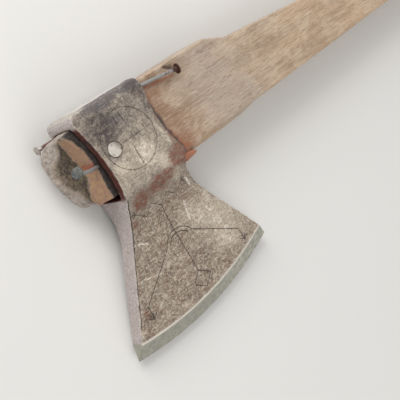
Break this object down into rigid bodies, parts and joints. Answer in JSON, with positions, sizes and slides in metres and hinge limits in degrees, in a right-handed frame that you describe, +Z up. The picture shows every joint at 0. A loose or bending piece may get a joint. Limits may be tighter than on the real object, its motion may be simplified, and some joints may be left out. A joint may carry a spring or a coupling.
{
  "type": "hafted iron axe",
  "caption": "Old hafted iron axe with a flaring blade, board-like wooden haft, eye shim and driven nails, lying on one cheek.",
  "frame": {"origin": "centre of the bounding box on the surface the axe lies on", "axes": "+X along the haft from the head towards the grip, +Z up out of the upper cheek, -Y towards the cutting edge"},
  "size_m": [0.4458, 0.1622, 0.0451],
  "materials": {
    "iron": "worn forged iron with rust and incised lines",
    "haft_wood": "bare weathered wood with fine lengthwise grain",
    "shim_wood": "rust-stained split wood",
    "nail_steel": "dull galvanised wire nails, rusty in places"
  },
  "bodies": {
    "root": {"axe_head": "iron", "haft": "haft_wood", "eye_shim": "shim_wood", "stub_nail": "nail_steel", "far_side_nail": "nail_steel", "haft_nail": "nail_steel"}
  },
  "joints": []
}
